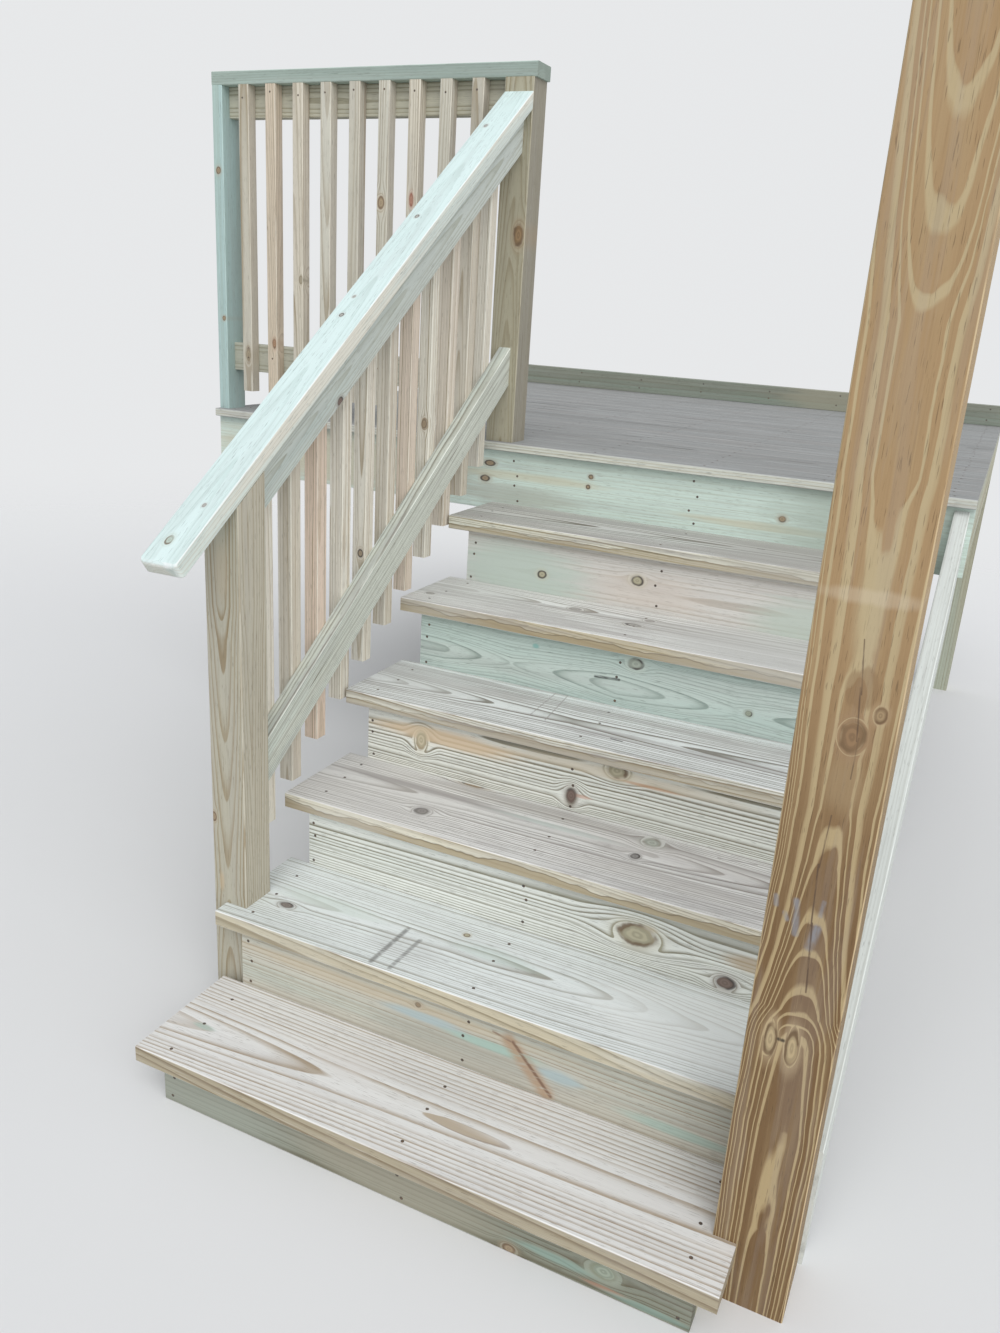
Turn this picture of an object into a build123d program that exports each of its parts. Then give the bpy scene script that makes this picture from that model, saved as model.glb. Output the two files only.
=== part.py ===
from build123d import *
import math
import os

# Timber entry steps: six treads on cut stringers, a landing, a rail on the left and a tall post on the right.
# Row frame: origin on the ground under the lowest riser, midway along the lowest tread.
# +X runs along the treads to the right, +Y runs into the house, +Z is up. All sizes are in millimetres.
os.makedirs("parts", exist_ok=True)

# Lumber sizes
thick = 38.0
narrow = 89.0
rim_height = 184.0
wide = 286.0
deck_thick = 25.0
deck_width = 140.0
porch_side = 140.0
ease = 3.0
beyond = 4000.0

# Stair layout
step_count = 6
rise = 186.0
run = 262.0
first_rise = 130.0
tread_length = 1250.0

# Posts and rails
newel_left = -660.0
newel_setback = 42.0
rail_inset = 24.0
cap_up = 888.0
cap_overhang = 165.0
cap_corner = 12.0
bottom_rail_up = 148.0
baluster = 38.0
stair_baluster_count = 11
stair_baluster_hang = 30.0
first_baluster_gap = 68.0
last_baluster_gap = 61.0
porch_left = 582.0
porch_setback = 120.0
porch_height = 2440.0

# Landing
landing_left = -1680.0
landing_right = 742.0
deck_board_count = 17
deck_gap = 4.0
joist_count = 8
guard_height = 1026.0
landing_baluster_count = 9
landing_baluster_hang = 66.0
landing_rail_up = 128.0
cap_end_overhang = 8.0

# Side board to the right of the steps
side_left = 692.0
side_height = 235.0
side_drop = 53.0

# Values that follow from the sizes above
half = tread_length / 2
nosing = wide - run
front = -nosing - thick / 2
porch_front = front + porch_setback
pitch = math.degrees(math.atan2(rise, run))
slope = rise / run
deck_top = first_rise + step_count * rise
landing_length = landing_right - landing_left
deck_under = deck_top - deck_thick
deck_front = front + step_count * run
rim_front = deck_front + nosing
deck_depth = deck_board_count * deck_width + (deck_board_count - 1) * deck_gap
deck_back = deck_front + deck_depth
newel_front = front + run + newel_setback
newel_right = newel_left + narrow
rail_right = newel_right - rail_inset
rail_left = rail_right - thick
guard_under = deck_top + guard_height - thick


def section(width, height, rounding):
    """The end section of a board, with eased corners, or sharp ones for rough framing."""
    if rounding > 0:
        return RectangleRounded(width, height, rounding)
    return Rectangle(width, height)


def along_x(x, y, z, length, depth, height, rounding=ease):
    """A board that runs along X, from its low corner, with its four long edges eased."""
    profile = section(height, depth, rounding)
    return Pos(x, y + depth / 2, z + height / 2) * Rot(0, 90, 0) * extrude(profile, length)


def along_y(x, y, z, width, length, height, rounding=ease):
    """A board that runs along Y, from its low corner, with its four long edges eased."""
    profile = section(width, height, rounding)
    return Pos(x + width / 2, y, z + height / 2) * Rot(-90, 0, 0) * extrude(profile, length)


def upright(x, y, z, width, depth, height, rounding=ease):
    """A post or baluster that stands along Z, from its low corner, with its four long edges eased."""
    profile = section(width, depth, rounding)
    return Pos(x + width / 2, y + depth / 2, z) * extrude(profile, height)


def block(x, y, z, width, depth, height):
    """A sharp box from its low corner, used as a cutter."""
    return Pos(x, y, z) * Box(width, depth, height, align=(Align.MIN, Align.MIN, Align.MIN))


def tread_top(number):
    """Height of the top of a tread, the lowest one being number 1."""
    return first_rise + (number - 1) * rise


def tread_front(number):
    """Y of the front edge of a tread."""
    return front + (number - 1) * run


def riser_front(number):
    """Y of the front face of a riser, set back from the tread edge above it by the nosing."""
    return tread_front(number) + nosing


def pitch_height(y):
    """Height of the line that touches the front edges of all the treads."""
    return first_rise + (y - front) * slope


def plain_tread(number):
    return along_x(-half, tread_front(number), tread_top(number) - thick, tread_length, wide, thick)


def sloped_board(x, width, height, y_low, y_high, up):
    """A board at the stair's pitch, its underside a set height over the tread edges, with length to trim."""
    spare = 200.0
    length = (y_high - y_low) / math.cos(math.radians(pitch)) + 2 * spare
    low = Pos(x + width / 2, y_low, pitch_height(y_low) + up)
    return low * Rot(pitch, 0, 0) * Pos(0, -spare, height / 2) * Rot(-90, 0, 0) * extrude(
        RectangleRounded(width, height, ease), length)


def plumb_trim(shape, y_low, y_high):
    """Cut a sloped board with upright saw cuts at both ends."""
    return shape & block(-beyond, y_low, -beyond, 2 * beyond, y_high - y_low, 3 * beyond)


def under_slope(y, up):
    """A big cutter whose lower face is the sloping plane a set height over the tread edges."""
    return Pos(0, y, pitch_height(y) + up) * Rot(pitch, 0, 0) * Box(
        beyond, beyond, beyond, align=(Align.CENTER, Align.CENTER, Align.MIN))


def stringer(x):
    """A stringer sawn from one wide plank: level and upright cuts above, one straight edge below."""
    points = []
    for number in range(1, step_count + 1):
        back_of_riser = riser_front(number) + thick
        seat = tread_top(number) - thick
        foot = 0.0 if number == 1 else tread_top(number - 1) - thick
        points.append((back_of_riser, foot))
        points.append((back_of_riser, seat))
    top_end = rim_front - thick
    points.append((top_end, tread_top(step_count) - thick))
    first_corner = riser_front(1) + thick
    drop = wide / math.cos(math.radians(pitch))
    edge_at_corner = tread_top(1) - thick - drop
    points.append((top_end, edge_at_corner + (top_end - first_corner) * slope))
    points.append((first_corner - edge_at_corner / slope, 0.0))
    outline = make_face(Plane.YZ * Polyline(points + [points[0]]))
    return Pos(x, 0, 0) * extrude(outline, thick, dir=(1, 0, 0))


stringer_left = newel_right
stringer_right = porch_left - thick
stringer_middle = (stringer_left + stringer_right) / 2
riser_length = porch_left - stringer_left
nodes = {}

# Treads
# The lowest tread is notched round the tall post, the second one round the newel.
nodes["tread_1"] = plain_tread(1) - block(porch_left, porch_front, 0, porch_side + half, wide, 2 * rise)
nodes["tread_2"] = plain_tread(2) - block(newel_left, newel_front, 0, narrow, narrow, 4 * rise)
for number in range(3, step_count + 1):
    nodes["tread_" + str(number)] = plain_tread(number)

# Risers
# Each one stands behind the tread below it. They reach from the newel's face to the tall post's face.
for number in range(1, step_count + 1):
    base = 0.0 if number == 1 else tread_top(number - 1) - thick
    height = tread_top(number) - thick - base
    riser = along_x(stringer_left, riser_front(number), base, riser_length, thick, height)
    nodes["riser_" + str(number)] = riser

# Stringers
nodes["stringer_left"] = stringer(stringer_left)
nodes["stringer_middle"] = stringer(stringer_middle)
nodes["stringer_right"] = stringer(stringer_right)

# Side board
# It runs at the stair's pitch from the tall post up to the rim, and is cut level where it meets the ground.
side_low = porch_front + porch_side
side_up = side_drop + side_height / math.cos(math.radians(pitch))
side_board = sloped_board(side_left, thick, side_height, side_low, rim_front, -side_up)
side_board = plumb_trim(side_board, side_low, rim_front)
nodes["side_board"] = side_board - block(-beyond, -beyond, -beyond, 2 * beyond, 2 * beyond, beyond)

# Posts
newel = upright(newel_left, newel_front, 0, narrow, narrow, 2 * cap_up)
nodes["newel_post"] = newel - under_slope(newel_front, cap_up)
nodes["top_post"] = upright(newel_left, rim_front, deck_top, narrow, narrow, guard_under - deck_top)
nodes["porch_post"] = upright(porch_left, porch_front, 0, porch_side, porch_side, porch_height)

# Stair rail
rail_low = newel_front + narrow
rail_high = rim_front
cap_low = newel_front - cap_overhang
cap = sloped_board(newel_left, narrow, thick, cap_low, rail_high, cap_up)
square_end = Pos(0, cap_low, pitch_height(cap_low) + cap_up) * Rot(pitch, 0, 0) * Box(
    beyond, beyond, beyond, align=(Align.CENTER, Align.MAX, Align.CENTER))
cap = plumb_trim(cap, cap_low - beyond, rail_high) - square_end
low_face = cap.faces().sort_by(Axis.Y)[0]
upright_edges = low_face.edges().filter_by(lambda e: abs((e @ 1 - e @ 0).X) < 0.01 and e.length > thick / 2)
nodes["stair_cap"] = fillet(upright_edges, cap_corner)
narrow_drop = narrow / math.cos(math.radians(pitch))
top_rail = sloped_board(rail_left, thick, narrow, rail_low, rail_high, cap_up - narrow_drop)
nodes["stair_top_rail"] = plumb_trim(top_rail, rail_low, rail_high)
bottom_rail = sloped_board(rail_left, thick, narrow, rail_low, rail_high, bottom_rail_up)
nodes["stair_bottom_rail"] = plumb_trim(bottom_rail, rail_low, rail_high)

# Stair balusters
first_y = rail_low + first_baluster_gap
last_y = rail_high - last_baluster_gap - baluster
step_y = (last_y - first_y) / (stair_baluster_count - 1)
stair_balusters = []
for index in range(stair_baluster_count):
    y = first_y + index * step_y
    foot = pitch_height(y + baluster / 2) - stair_baluster_hang
    piece = upright(rail_left - baluster, y, foot, baluster, baluster, 2 * cap_up)
    stair_balusters.append(piece - under_slope(y, cap_up))
nodes["stair_balusters"] = Compound(children=stair_balusters)

# Landing frame
nodes["rim_joist"] = along_x(landing_left, rim_front, deck_under - rim_height, landing_length,
                             thick, rim_height)
nodes["back_joist"] = along_x(landing_left, deck_back - thick, deck_under - rim_height,
                              landing_length, thick, rim_height)
joist_start = rim_front + thick
joist_length = deck_back - thick - joist_start
joist_step = (landing_right - thick - landing_left) / (joist_count - 1)
joists = []
for index in range(joist_count):
    joists.append(along_y(landing_left + index * joist_step, joist_start, deck_under - rim_height,
                          thick, joist_length, rim_height, 0))
nodes["joists"] = Compound(children=joists)
nodes["stair_header"] = along_x(stringer_left, rim_front - thick, tread_top(step_count) - thick - rim_height,
                                riser_length, thick, rim_height, 0)

# Support posts under the landing
post_top = deck_under - rim_height
supports = []
for x in (stringer_left, porch_left - narrow):
    supports.append(upright(x, rim_front, 0, narrow, narrow, post_top, 0))
for x in (landing_left, landing_right - narrow):
    supports.append(upright(x, deck_back - narrow, 0, narrow, narrow, post_top, 0))
nodes["support_posts"] = Compound(children=supports)

# Deck
boards = []
for index in range(deck_board_count):
    y = deck_front + index * (deck_width + deck_gap)
    boards.append(along_x(landing_left, y, deck_under, landing_length, deck_width, deck_thick))
nodes["deck_boards"] = Compound(children=boards)
nodes["kickboard"] = along_x(landing_left, deck_back - thick, deck_top, landing_length, thick, narrow)

# Landing rail
cap_length = newel_right + cap_end_overhang - landing_left
nodes["landing_cap"] = along_x(landing_left, rim_front, guard_under, cap_length, narrow, thick)
nodes["wall_plate"] = upright(landing_left, rim_front, deck_top, thick, narrow, guard_under - deck_top)
rail_start = landing_left + thick
rail_length = newel_left - rail_start
rail_front = rim_front + baluster
low_rail = deck_top + landing_rail_up
nodes["landing_top_rail"] = along_x(rail_start, rail_front, guard_under - narrow, rail_length, thick, narrow)
nodes["landing_bottom_rail"] = along_x(rail_start, rail_front, low_rail, rail_length, thick, narrow)
gap = (rail_length - landing_baluster_count * baluster) / (landing_baluster_count + 1)
landing_balusters = []
for index in range(landing_baluster_count):
    x = rail_start + gap + index * (baluster + gap)
    landing_balusters.append(upright(x, rim_front, deck_top + landing_baluster_hang, baluster, baluster,
                                     guard_under - deck_top - landing_baluster_hang))
nodes["landing_balusters"] = Compound(children=landing_balusters)

for name, shape in nodes.items():
    export_step(shape, "parts/" + name + ".step")
print(len(nodes), "nodes")
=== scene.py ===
# %% [markdown]
# # Timber entry steps
# Six plank treads climb between cut stringers to a small landing. A sloping rail with square balusters
# runs up the left side, and a tall post stands at the right. Every piece of wood is already in the packed
# frame at its true size. This lesson gives each board its own grain, knots and weathering, and adds
# the nail heads, which are too small for the construction model.

# %% Load the frame
import bpy
import bmesh
import math
import random
from mathutils import Matrix, Vector
from types import SimpleNamespace


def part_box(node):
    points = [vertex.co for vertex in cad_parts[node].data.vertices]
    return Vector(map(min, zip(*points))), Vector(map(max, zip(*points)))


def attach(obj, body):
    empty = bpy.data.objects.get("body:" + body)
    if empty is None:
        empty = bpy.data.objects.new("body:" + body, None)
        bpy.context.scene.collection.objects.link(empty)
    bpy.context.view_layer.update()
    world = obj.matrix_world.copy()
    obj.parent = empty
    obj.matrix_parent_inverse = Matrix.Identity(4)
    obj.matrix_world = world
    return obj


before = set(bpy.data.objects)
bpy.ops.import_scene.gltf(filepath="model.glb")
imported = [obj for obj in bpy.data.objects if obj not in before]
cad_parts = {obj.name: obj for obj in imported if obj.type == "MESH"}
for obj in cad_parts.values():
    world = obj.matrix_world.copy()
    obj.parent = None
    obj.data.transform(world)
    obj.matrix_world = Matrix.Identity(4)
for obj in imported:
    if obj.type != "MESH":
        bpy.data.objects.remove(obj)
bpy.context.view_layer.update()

# %% [markdown]
# The boards follow a few directions: treads, risers and deck run along X, posts stand along Z, and the
# stair rail climbs at the pitch of the steps. The pitch comes from two neighbouring treads, so nothing
# here has to be typed in again if the steps change.

# %% Measure the steps
plank_thickness = 0.038
deck_gap = 0.004
stair_baluster_count = 11
landing_baluster_count = 9
deck_board_count = 17
joist_count = 8
first_low, first_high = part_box("tread_1")
second_low, second_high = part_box("tread_2")
rise = second_high.z - first_high.z
run = second_low.y - first_low.y
pitch = math.atan2(rise, run)
step_count = sum(1 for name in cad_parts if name.startswith("tread_"))
print("rise", round(rise, 3), "run", round(run, 3), "pitch", round(math.degrees(pitch), 2), "degrees")

# %% [markdown]
# The camera stands where the picture was taken from, in front of the steps and a little to the right.
# Its place and angles were found by fitting a pinhole camera to the corners of the treads.
# Yaw, pitch and roll build its three axes one after another, in that order.

# %% Camera
camera_place = Vector((0.783, -1.416, 1.655))
camera_yaw = math.radians(24.41)
camera_pitch = math.radians(19.06)
camera_roll = math.radians(3.58)
focal_pixels = 1062.0
photo_width = 1000.0
sensor_width = 36.0

flat_right = Vector((math.cos(camera_yaw), math.sin(camera_yaw), 0))
flat_forward = Vector((-math.sin(camera_yaw), math.cos(camera_yaw), 0))
forward = flat_forward * math.cos(camera_pitch) - Vector((0, 0, 1)) * math.sin(camera_pitch)
level_up = flat_right.cross(forward)
right = flat_right * math.cos(camera_roll) + level_up * math.sin(camera_roll)
up = right.cross(forward)

camera_data = bpy.data.cameras.new("camera")
camera_data.sensor_fit = "HORIZONTAL"
camera_data.sensor_width = sensor_width
camera_data.lens = focal_pixels / photo_width * sensor_width
camera = bpy.data.objects.new("camera", camera_data)
turn = Matrix((right, up, -forward)).transposed().to_4x4()
camera.matrix_world = Matrix.Translation(camera_place) @ turn
bpy.context.scene.collection.objects.link(camera)
bpy.context.scene.camera = camera
print("lens", round(camera_data.lens, 1), "mm at", tuple(round(c, 3) for c in camera_place))

# %% [markdown]
# Node trees are easier to read as sums than as boxes and wires. A Wire holds one output socket, and its
# + - * / make Math nodes.


# %% Wires that can be added and multiplied
class Wire:
    """One number or colour that varies over a surface."""

    def __init__(self, finish, socket):
        self.finish = finish
        self.socket = socket

    def __add__(self, other):
        return self.finish.maths("ADD", self, other)

    def __sub__(self, other):
        return self.finish.maths("SUBTRACT", self, other)

    def __mul__(self, other):
        return self.finish.maths("MULTIPLY", self, other)

    def __truediv__(self, other):
        return self.finish.maths("DIVIDE", self, other)


def toned(colour, times, plus=0.0, most=1.0):
    """A darker or lighter version of a colour."""
    return tuple(min(most, part * times + plus) for part in colour)


print("wires ready")

# %% [markdown]
# A Finish is a material, or a world, while its nodes are being made. Its node method adds any node from
# a type, its settings and what goes into its sockets, and the other methods name the nodes that this
# lesson uses most.


# %% Finishes
class Finish:
    """A node tree under construction, with one method for any node."""

    def __init__(self, owner):
        self.owner = owner
        owner.use_nodes = True
        self.tree = owner.node_tree
        self.tree.nodes.clear()

    def node(self, kind, settings=None, inputs=None, output=0):
        made = self.tree.nodes.new("ShaderNode" + kind)
        for key, value in (settings or {}).items():
            if key == "stops":
                ramp = made.color_ramp
                while len(ramp.elements) < len(value):
                    ramp.elements.new(0.5)
                for element, (place, level) in zip(ramp.elements, value):
                    element.position = place
                    element.color = (level, level, level, 1)
            else:
                setattr(made, key, value)
        for key, value in (inputs or {}).items():
            if isinstance(value, Wire):
                self.tree.links.new(value.socket, made.inputs[key])
            else:
                made.inputs[key].default_value = value
        return Wire(self, made.outputs[output]) if made.outputs else None

    def maths(self, operation, first, second=0.0, third=0.0):
        return self.node("Math", {"operation": operation}, {0: first, 1: second, 2: third})

    def smooth(self, value, low, high, start=0.0, end=1.0, shape="SMOOTHSTEP"):
        """A soft step: start below low, end above high. The shape LINEAR makes it a straight ramp."""
        inputs = {"Value": value, "From Min": low, "From Max": high, "To Min": start, "To Max": end}
        return self.node("MapRange", {"interpolation_type": shape}, inputs)

    def mix(self, factor, first, second):
        """One colour turning into another."""
        colours = [c if isinstance(c, Wire) else (*c, 1) for c in (first, second)]
        inputs = {0: factor, 6: colours[0], 7: colours[1]}
        return self.node("Mix", {"data_type": "RGBA"}, inputs, 2)

    def outputs(self, kind, inputs=None):
        """Every output of a new node, by its name."""
        made = self.node(kind, None, inputs).socket.node
        return {socket.name: Wire(self, socket) for socket in made.outputs}

    def parts(self, vector):
        return self.outputs("SeparateXYZ", {0: vector}).values()

    def place(self):
        """Where a point lies in the frame, because every piece has its origin at the frame's."""
        return self.outputs("TexCoord")["Object"]

    def noise(self, place, scale=1.0, detail=2.0, roughness=0.5):
        inputs = {"Vector": place, "Scale": scale, "Detail": detail, "Roughness": roughness}
        return self.node("TexNoise", None, inputs)

    def random(self, number):
        """A random value from 0 to 1 for each number."""
        return self.node("TexWhiteNoise", {"noise_dimensions": "1D"}, {"W": number})


print("finishes ready")

# %% [markdown]
# A board's grain lives in the board's own directions, not the room's. Along runs the length of the
# board, across is its wide face and depth is its thickness, all measured in metres from the middle.
# Boards that share a node, such as balusters, are told apart by a repeat: the position is folded into
# one spacing, and the number of the piece seeds its own shade and grain.

# %% A board and its directions
seed_shift = 5.3
piece_shift = 3.7


class Board(Finish):
    """The finish of one board, or of a row of like boards, that knows the way the wood grew."""

    def __init__(self, node, way, seed, repeat):
        super().__init__(bpy.data.materials.new(node))
        low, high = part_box(node)
        middle = (low + high) / 2
        x, y, z = self.parts(self.node("VectorMath", {"operation": "SUBTRACT"}, {0: self.place(), 1: middle}))
        normals = list(self.parts(self.outputs("NewGeometry")["Normal"]))
        self.seed = seed
        self.piece = None
        if repeat:
            axis, spacing, count = repeat
            steps = (x if axis == "x" else y) / spacing + count / 2
            self.piece = self.maths("FLOOR", steps)
            local = (steps - self.piece - 0.5) * spacing
            x, y = (local, y) if axis == "x" else (x, local)
        climb, lift = self.turned(y, z)
        if way.startswith("pitch"):
            normals[1:] = self.turned(normals[1], normals[2])
        facing_x, facing_y, facing_z = [self.maths("ABSOLUTE", part) for part in normals]
        size = high - low
        directions = {
            "x flat": (x, y, z, facing_z, facing_x, size.z),
            "x edge": (x, z, y, facing_y, facing_x, size.y),
            "y edge": (y, z, x, facing_x, facing_y, size.x),
            "z": (z, x, y, facing_y, facing_z, size.y),
            "pitch flat": (climb, x, lift, facing_z, facing_y, plank_thickness),
            "pitch edge": (climb, lift, x, facing_x, facing_y, size.x)}
        self.along, self.across, self.depth, self.on_face, self.on_end, self.thick = directions[way]
        flattest = self.maths("MAXIMUM", self.maths("MAXIMUM", facing_x, facing_y), facing_z)
        self.on_arris = self.smooth(flattest, 0.90, 0.985, 1.0, 0.0)
        shift = seed * seed_shift if self.piece is None else self.piece * piece_shift + seed * seed_shift
        self.grain = self.node("CombineXYZ", None, {0: self.along + shift, 1: self.across, 2: self.depth})

    def turned(self, y, z):
        """The two directions up the steps and square to them, from two that lie level and upright."""
        return (y * math.cos(pitch) + z * math.sin(pitch), z * math.cos(pitch) - y * math.sin(pitch))

    def stretched(self, lengthwise, crosswise, detail=2.0, roughness=0.5):
        """Noise from 0 to 1 that changes so many times per metre along the grain and across it."""
        often = (lengthwise, crosswise, crosswise)
        place = self.node("VectorMath", {"operation": "MULTIPLY"}, {0: self.grain, 1: often})
        return self.noise(place, 1.0, detail, roughness)

    def from_spot(self, along, across, length, width):
        """Distance from a spot on the face, where 1 is the rim of an oval of that half length and width."""
        aside = (self.along - along) / length
        over = (self.across - across) / width
        return self.maths("SQRT", aside * aside + over * over)


print("boards know their own directions")

# %% [markdown]
# Growth rings are cylinders round the heart of the tree, and a sawn face cuts through them. So the
# shader measures how far each point lies from a heart line that runs behind the face, and counts rings
# out from the middle of the face. Where the heart bows away from the face, the cut shows pointed
# arches, one for each ring that it sinks, and towards the board's edges it shows straight lines. That
# is how flat-sawn pine looks.
#
# A look is a set of words for one board. Heart is where the heart line lies across and behind the face,
# drift slants it, wander and ripple bend it slowly and quickly, and ring is the width of a ring. Bow
# lists places along the board with the ring that shows there in the middle of the face. Pointed draws
# the arches sharper, sinks gives a stretch over which they widen, and spread one over which the rings
# are pushed aside from the middle. Bend is how far a knot bends the rings, and loops is how many rings
# close round it and how far out.

# %% Growth rings
elsewhere = 100.0
heart_scatter = 0.10
slant_scatter = 0.05


def other_piece(board, knot):
    """A big number on every piece of a row but the one that has this knot, whose number comes last in it."""
    if len(knot) < 7:
        return 0.0
    return board.maths("ABSOLUTE", board.piece - knot[6]) * elsewhere


def round_the_knots(board, look):
    """The way across the board as the rings see it, bent round the knots, and the rings that close there."""
    across = board.across
    closed = 0.0
    for knot in look.knots:
        along_at, across_at, length, width = knot[:4]
        away = other_piece(board, knot)
        reach = board.from_spot(along_at, across_at, length * look.bend[0], width * look.bend[1]) + away
        near = board.smooth(reach, 0.3, 1.0, 0.92, 0.0)
        across = across - (across - across_at) * near
        distance = board.from_spot(along_at, across_at, length, width) + away
        closed = board.smooth(distance, 1.0, look.loops[1], look.loops[0], 0.0) + closed
    return across, closed


def rings_passed(board, bow):
    """The ring that shows in the middle of the face at each place along the board."""
    passed = bow[0][1] if bow else 0.0
    for (start, start_rings), (end, end_rings) in zip(bow, bow[1:]):
        passed = board.smooth(board.along, start, end, 0.0, end_rings - start_rings, "LINEAR") + passed
    return passed


def count_rings(board, look):
    """How many rings each point lies beyond the middle of the face."""
    across, closed = round_the_knots(board, look)
    slow = board.stretched(1.3, 4.0, 1.0) - 0.5
    other = board.stretched(2.1, 3.0, 1.0, 0.4) - 0.5
    quick = board.stretched(8.0, 30.0, 2.0) - 0.5
    heart_across, heart_depth = look.heart
    if board.piece is not None:
        heart_across = (board.random(board.piece + board.seed) - 0.5) * heart_scatter
        heart_depth = (board.random(board.piece + board.seed + 17) * 0.6 + 0.25) * heart_depth
    side = across - heart_across - board.along * look.drift + slow * (2 * look.wander) + quick * look.ripple
    if look.spread:
        start, end, amount = look.spread
        pushed = board.smooth(board.along, start, end, 0.0, amount)
        outward = board.maths("ABSOLUTE", side)
        side = side * (outward / (outward + pushed + 0.0001))
    down = board.maths("ABSOLUTE", board.depth - heart_depth) + other * (0.8 * look.wander)
    down = down + quick * (look.ripple * 0.4)
    if board.piece is not None:
        down = down + board.along * ((board.random(board.piece + board.seed + 31) - 0.5) * slant_scatter)
    passed = rings_passed(board, look.bow)
    if look.pointed:
        closed = passed + closed
    elif look.bow:
        down = down + passed * look.ring
    if look.sinks:
        start, end, amount = look.sinks
        deeper = board.smooth(board.along, start, end, 0.0, amount)
        down = down + deeper
        closed = closed - deeper / look.ring
    radius = board.maths("SQRT", side * side + down * down)
    return (radius - (board.thick / 2 + abs(look.heart[1]))) / look.ring + closed


print("growth rings ready")

# %% [markdown]
# Each ring is pale early wood that ends in a thin dark band of late wood, and share is how much of the
# ring is dark. Bold rings, of a larger share, are dark all over, with thin pale lines between.

# %% Late wood
bold_share = 0.6


def late_wood(board, rings, share):
    """The dark band that ends each ring, of uneven width and strength."""
    uneven = board.node("TexNoise", {"noise_dimensions": "1D"},
                        {"W": rings + board.seed * 7.0, "Scale": 0.31, "Detail": 1.0})
    settled = board.smooth(board.maths("ABSOLUTE", rings), 0.5, 6.0)
    rings = rings + (uneven - 0.5) * 2.4 * settled
    start = 1.0 - share
    stops = [(0.0, 0.0), (start * 0.75, 0.06), (start + share * 0.15, 0.5), (start + share * 0.55, 0.95),
             (0.955, 1.0), (1.0, 0.0)]
    weakest = 0.5
    if share > bold_share:
        stops = [(0.0, 0.3), (0.04, 0.0), (start * 0.8, 0.0), (start * 1.2, 0.85), (0.97, 1.0), (1.0, 0.4)]
        weakest = 0.8
    band = board.node("ValToRGB", {"stops": stops}, {0: board.maths("FRACT", rings)})
    strength = board.random(board.maths("FLOOR", rings) + board.seed) * (1.0 - weakest) + weakest
    return band * strength


print("late wood ready")

# %% [markdown]
# Knots are the roots of branches. A live knot is an oval with its own tight rings and a dark, broken
# rim, and the grain flows round it. A knot's look is its place along and across the board, its half
# length and half width, its shade and its rim's. In a row of boards, the number of its piece comes last.

# %% Knots
rings_in_a_knot = 4.2


def add_knots(board, colour, height, knots):
    ripple = board.stretched(45.0, 45.0, 2.0) - 0.5
    broken = board.smooth(board.stretched(26.0, 26.0, 1.0), 0.36, 0.56, 0.3, 1.0)
    for knot in knots:
        along_at, across_at, length, width, shade, rim_shade = knot[:6]
        distance = board.from_spot(along_at, across_at, length, width) + ripple * 0.5
        distance = distance + other_piece(board, knot)
        inside = board.smooth(distance, 0.9, 1.04, 0.95, 0.0)
        rim = board.smooth(distance, 0.70, 0.92) * board.smooth(distance, 1.04, 1.32, 1.0, 0.0) * broken
        halo = board.smooth(distance, 1.0, 2.4, 0.4, 0.0)
        tight = board.smooth(board.maths("PINGPONG", distance * rings_in_a_knot, 1.0), 0.2, 0.8)
        body = board.mix(tight * 0.55, toned(shade, 1.12), toned(shade, 0.66))
        colour = board.mix(halo, colour, toned(shade, 1.25, 0.05))
        colour = board.mix(inside, colour, body)
        colour = board.mix(rim * 0.9, colour, rim_shade)
        height = height - rim * 0.9 + inside * 0.3
    return colour, height


print("knots ready")

# %% [markdown]
# Patches are soft stains, such as the green that the preservative leaves or the tan of resin: a place,
# a half length and width, a shade and an amount. Two numbers more give a patch a crisp rim. Scratches
# are scuffs and drying cracks along a line: its two ends, its width, a shade and an amount.


# %% Patches and scratches
def add_patches(board, colour, patches):
    ragged = board.stretched(4.0, 50.0, 3.0, 0.6) - 0.5
    for along_at, across_at, length, width, shade, amount, *rim in patches:
        fades_from, fades_to = rim or (0.4, 1.1)
        distance = board.from_spot(along_at, across_at, length, width) + ragged * 0.9
        colour = board.mix(board.smooth(distance, fades_from, fades_to, amount, 0.0), colour, shade)
    return colour


def add_scratches(board, colour, scratches):
    broken = board.smooth(board.stretched(32.0, 160.0, 2.0), 0.30, 0.52, 0.4, 1.0)
    for start, end, width, shade, amount in scratches:
        run_along, run_across = end[0] - start[0], end[1] - start[1]
        length = math.hypot(run_along, run_across)
        from_along, from_across = board.along - start[0], board.across - start[1]
        onward = (from_along * run_along + from_across * run_across) / (length * length)
        onward = board.maths("MINIMUM", board.maths("MAXIMUM", onward, 0.0), 1.0)
        gap_along = from_along - onward * run_along
        gap_across = from_across - onward * run_across
        gap = board.maths("SQRT", gap_along * gap_along + gap_across * gap_across)
        mask = board.smooth(gap, width * 0.2, width, amount, 0.0) * broken
        colour = board.mix(mask, colour, shade)
    return colour


print("patches and scratches ready")

# %% [markdown]
# The wide faces have bleached in the sun and the narrow edges have kept their fresh colours, which edge
# gives; on the balusters, edge lightens the side faces, partly as a painted highlight. Fade turns the colours
# along the board, tint lays long bands over the early wood, and the pieces of a row differ in shade. Wane is
# a strip of the tree's own brown rim along an edge of the plank, with a ragged dark line above it.

# %% Colours that vary over a board
smudge = (0.33, 0.31, 0.30)
wane_colour = (0.37, 0.30, 0.185)


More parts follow.
